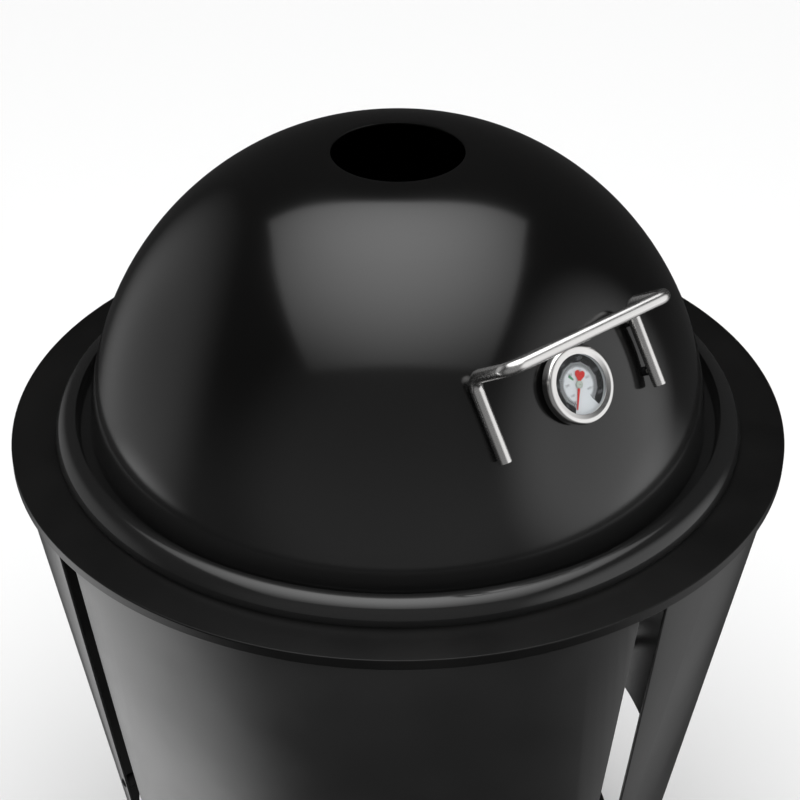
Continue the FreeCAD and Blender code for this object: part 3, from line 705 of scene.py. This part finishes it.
def side_panels():
    """One rolled sheet pulled down along the taper, trimmed to its gaps and copied round the drum."""
    top = PANEL_HIGH.z
    drop = top - PANEL_LOW.z
    lean = DRUM_TAPER * math.sqrt(0.5)
    deselect()
    bpy.ops.mesh.primitive_plane_add(size=MM)
    sheet = added("panel_sheet")
    bpy.ops.mesh.merge(type="CENTER")
    bpy.ops.transform.translate(value=(0, -DRUM_RADIUS, top))
    bpy.ops.mesh.spin(steps=60, angle=-math.pi / 2, center=(0, 0, top), axis=(0, 0, 1))
    bpy.ops.mesh.select_all(action="SELECT")
    bpy.ops.mesh.extrude_region_move(TRANSFORM_OT_translate={"value": (-lean * drop, lean * drop, -drop)})
    for side in ((1, 0, 0), (0, -1, 0)):
        bpy.ops.mesh.select_all(action="SELECT")
        bpy.ops.mesh.bisect(plane_co=Vector(side) * GAP_SIDE, plane_no=side, clear_inner=True)
    weld_and_face_out()
    modified(sheet, "SOLIDIFY", thickness=PANEL_WALL, offset=-1, use_even_offset=True)
    softened(sheet, 0.8 * MM, 3, 40)
    smooth(sheet, 35)
    for turn, corner in enumerate(("front_right", "back_right", "back_left", "front_left")):
        panel = copied(sheet, "panel_" + corner)
        settled(panel, Matrix.Rotation(turn * math.pi / 2, 4, "Z"))
        finished(panel, "panel_black", "stand", "side_panel_" + corner)
    bpy.data.objects.remove(sheet)


# Thermometer


def gauge_ring():
    ring = turned_ring(
        "gauge_ring",
        [
            (BEZEL_RADIUS, SKIRT_UP, 0.5 * MM),
            (BEZEL_RADIUS, BEZEL_TOP - 0.5 * MM, 3.2 * MM),
            (BEZEL_RADIUS - 4.5 * MM, BEZEL_TOP, 2.5 * MM),
            (WINDOW_RADIUS + 0.8 * MM, BEZEL_TOP - 1.2 * MM, 0.4 * MM),
            (WINDOW_RADIUS, CASE_TOP, 0.2 * MM),
            (CASE_RADIUS, CASE_TOP, 0.2 * MM),
            (CASE_RADIUS, SKIRT_UP, 0.3 * MM),
        ],
        96,
    )
    return finished(settled(ring, on_gauge()), "bezel_steel", "lid", "gauge_bezel")


def printed_arc(name, inner, outer, start, sweep, low):
    """A band of ink round the dial, from a clock angle through a sweep in degrees."""
    deselect()
    bpy.ops.mesh.primitive_plane_add(size=MM)
    band = added(name)
    bpy.ops.mesh.merge(type="CENTER")
    heading = Vector((math.sin(math.radians(start)), math.cos(math.radians(start)), 0))
    bpy.ops.transform.translate(value=heading * inner + Vector((0, 0, low)))
    bpy.ops.mesh.extrude_region_move(TRANSFORM_OT_translate={"value": heading * (outer - inner)})
    bpy.ops.mesh.select_all(action="SELECT")
    steps = max(1, round(sweep / 3))
    bpy.ops.mesh.spin(steps=steps, angle=math.radians(sweep), center=(0, 0, 0), axis=(0, 0, 1))
    bpy.ops.mesh.select_all(action="SELECT")
    bpy.ops.mesh.extrude_region_move(TRANSFORM_OT_translate={"value": (0, 0, PRINT)})
    weld_and_face_out()
    return band


def printed_number(number, radius, clock, height, material):
    """A number on the dial, upright, centred at a clock angle."""
    deselect()
    bpy.ops.object.text_add(radius=height)
    text = bpy.context.object
    text.data.body = str(number)
    text.data.align_x = "CENTER"
    text.data.align_y = "CENTER"
    text.data.extrude = PRINT / 2
    text.data.resolution_u = 2
    bpy.ops.object.convert(target="MESH")
    angle = math.radians(clock)
    spot = Vector((radius * math.sin(angle), radius * math.cos(angle), DIAL_FACE + 2 * PRINT))
    text.data.materials.clear()
    text.data.materials.append(material)
    return settled(text, Matrix.Translation(spot))


def dial_face():
    """The dial: a white disc, a dark scale band with its ticks, and its numbers."""
    white = FINISHES["dial_print"]
    start, sweep = 209, 299
    disc = turned_ring(
        "dial_disc",
        [
            (DIAL_RADIUS, DIAL_UP, 0.1 * MM),
            (DIAL_RADIUS, DIAL_FACE, 0.1 * MM),
            (1.1 * MM, DIAL_FACE, 0.1 * MM),
            (1.1 * MM, DIAL_UP, 0.1 * MM),
        ],
        96,
    )
    things = [coated(disc, white)]
    band = printed_arc("dial_band", 17 * MM, 26.5 * MM, start, sweep, DIAL_FACE)
    things.append(coated(band, DIAL_BLACK))
    ticks = 50
    pitch = (sweep - 8) / ticks
    for tick in range(ticks + 1):
        clock = start + 4 + tick * pitch
        long = tick % 5 == 0
        inner = (14.6 if long else 15.3) * MM
        tooth = printed_arc("dial_tooth", inner, 17.05 * MM, clock - 1.4, 2.8, DIAL_FACE)
        things.append(coated(tooth, DIAL_BLACK))
        outer = (20.2 if long else 19.2) * MM
        mark = printed_arc("dial_mark", 17.5 * MM, outer, clock - 1.1, 2.2, DIAL_FACE + PRINT)
        things.append(coated(mark, white))
    for place in range(6):
        clock = start + 24 + place * (sweep - 48) / 5
        things.append(printed_number(50 * (place + 1), 23.2 * MM, clock, 4.2 * MM, DIAL_GREY))
        things.append(printed_number(100 * (place + 1), 11.8 * MM, clock, 3.2 * MM, DIAL_GREY))
    things.append(coated(printed_arc("dial_safe", 6.5 * MM, 12.5 * MM, 320, 14, DIAL_FACE), DIAL_GREEN))
    face = joined("dial_face", things)
    return finished(settled(face, on_gauge()), "dial_print", "lid", "gauge_dial")


def red_needle():
    """A slim red pointer with a heart-shaped counterweight, and the pale hub that carries both."""
    pointer = [(-1.3, 0), (-0.5, 22), (0.5, 22), (1.3, 0)]
    heart = [(-1.4, 0), (-1.6, -4), (-4.8, -8), (-4.9, -11), (-2.6, -12.6), (0, -11)]
    heart += [(-across, along) for across, along in reversed(heart[:-1])]
    things = []
    for name, outline in (("pointer", pointer), ("heart", heart)):
        points = [(across * MM, along * MM) for across, along in outline]
        things.append(coated(flat_shape(name, points, NEEDLE_UP, 0.5 * MM), FINISHES["needle_red"]))
    hub = turned_ring(
        "hub",
        [
            (3.4 * MM, NEEDLE_UP - 0.2 * MM, 0.2 * MM),
            (3.4 * MM, NEEDLE_UP + 1.5 * MM, 0.6 * MM),
            (0.5 * MM, NEEDLE_UP + 1.6 * MM, 0.2 * MM),
            (0.5 * MM, NEEDLE_UP - 0.2 * MM, 0.1 * MM),
        ],
        40,
    )
    things.append(coated(hub, HUB_GREY))
    needle = joined("red_needle", things)
    place = on_gauge() @ Matrix.Rotation(math.radians(NEEDLE_ANGLE), 4, "Z")
    return finished(settled(needle, place), "needle_red", "needle", "gauge_needle")


# Studio

VIEW_TURN = math.radians(36.5)
VIEW_RISE = math.radians(33.58)
VIEW_DISTANCE = 1.883
LENS = 85
AIM_DOWN = math.radians(33.35)
AIM_ASIDE = math.radians(0.0713)
PALE_ROOM = 1.5
DIM_ROOM = 0.045
# Each soft card: its turn from the camera and its rise, the angles where it is full and where it
# ends, and its strength
SOFT_CARDS = (
    (78, 4, 20, 46, 1.35),
    (-112, -2, 16, 42, 0.55),
    (0, 8, 30, 66, 0.27),
    (-98, -47, 12, 31, 2.6),
    (100, -40, 10, 30, 0.7),
)


def studio(right, away, up):
    """A place in the studio, square to the camera."""
    return Matrix.Rotation(-VIEW_TURN, 3, "Z") @ Vector((right, away, up))


def camera():
    level = VIEW_DISTANCE * math.cos(VIEW_RISE)
    place = studio(0, -level, PLATE_TOP + VIEW_DISTANCE * math.sin(VIEW_RISE))
    aim = (math.pi / 2 - AIM_DOWN, 0, -VIEW_TURN - AIM_ASIDE)
    bpy.ops.object.camera_add(location=place, rotation=aim)
    eye = bpy.context.object
    eye.name = "studio_camera"
    eye.data.lens = LENS
    eye.data.sensor_width = 36
    eye.data.clip_start = 0.05
    bpy.context.scene.camera = eye


def floor():
    deselect()
    bpy.ops.mesh.primitive_plane_add(size=60)
    ground = added("floor", edit=False)
    mix = Finish("pale_floor")
    ground.data.materials.append(mix.done(mix.surface(Base_Color=grey(0.80), Roughness=0.9)))
    ground.visible_glossy = False


def overhead_softbox():
    """A large soft light flat above the lid, brightest over the middle."""
    width, depth, height, brightest, reach = 2.2, 2.15, 2.14, 3.4, 1.15
    deselect()
    place = studio(0, -0.225, height)
    bpy.ops.mesh.primitive_plane_add(size=1, location=place, rotation=(math.pi, 0, -VIEW_TURN))
    box = added("overhead_softbox", edit=False)
    box.scale = (width, depth, 1)
    bpy.ops.object.transform_apply(location=True, rotation=True, scale=True)
    mix = Finish("softbox")
    spot = mix.place()
    across = mix.node("ShaderNodeSeparateXYZ", {}, {"Vector": spot}, "X")
    along = mix.node("ShaderNodeSeparateXYZ", {}, {"Vector": spot}, "Y")
    spread = (across * across + along * along) / -(reach**2)
    glow = brightest * mix.node("ShaderNodeMath", {"operation": "EXPONENT"}, {0: spread})
    box.data.materials.append(mix.done(mix.node("ShaderNodeEmission", {}, {"Strength": glow})))
    box.visible_camera = False
    box.visible_shadow = False


def surroundings():
    """A pale room with five soft cards, two of them low, that only gloss picks up."""
    world = bpy.data.worlds.new("studio")
    world.use_nodes = True
    bpy.context.scene.world = world
    world.cycles.sampling_method = "NONE"
    mix = Finish("studio", world.node_tree)
    facing = mix.node("ShaderNodeTexCoord", output="Generated")
    cards = DIM_ROOM
    for turn, rise, inner, outer, strength in SOFT_CARDS:
        level = math.cos(math.radians(rise))
        side = math.radians(turn)
        centre = studio(level * math.sin(side), -level * math.cos(side), math.sin(math.radians(rise)))
        pair = {0: facing, 1: centre}
        near = mix.node("ShaderNodeVectorMath", {"operation": "DOT_PRODUCT"}, pair, "Value")
        edge, full = math.cos(math.radians(outer)), math.cos(math.radians(inner))
        cards = mix.ramp(near, edge, full, 0, strength) + cards
    seen = mix.node("ShaderNodeLightPath", output="Is Glossy Ray")
    light = mix.ramp(seen, 0, 1, PALE_ROOM, 0) + seen * cards
    glow = mix.node("ShaderNodeBackground", {}, {"Strength": light})
    mix.node("ShaderNodeOutputWorld", {}, {"Surface": glow})


finish_cad_nodes()
lid_shell()
handle_rod()
hot_plate()
side_panels()
gauge_ring()
dial_face()
red_needle()
floor()
overhead_softbox()
surroundings()
camera()
bpy.context.scene.view_settings.view_transform = "Standard"
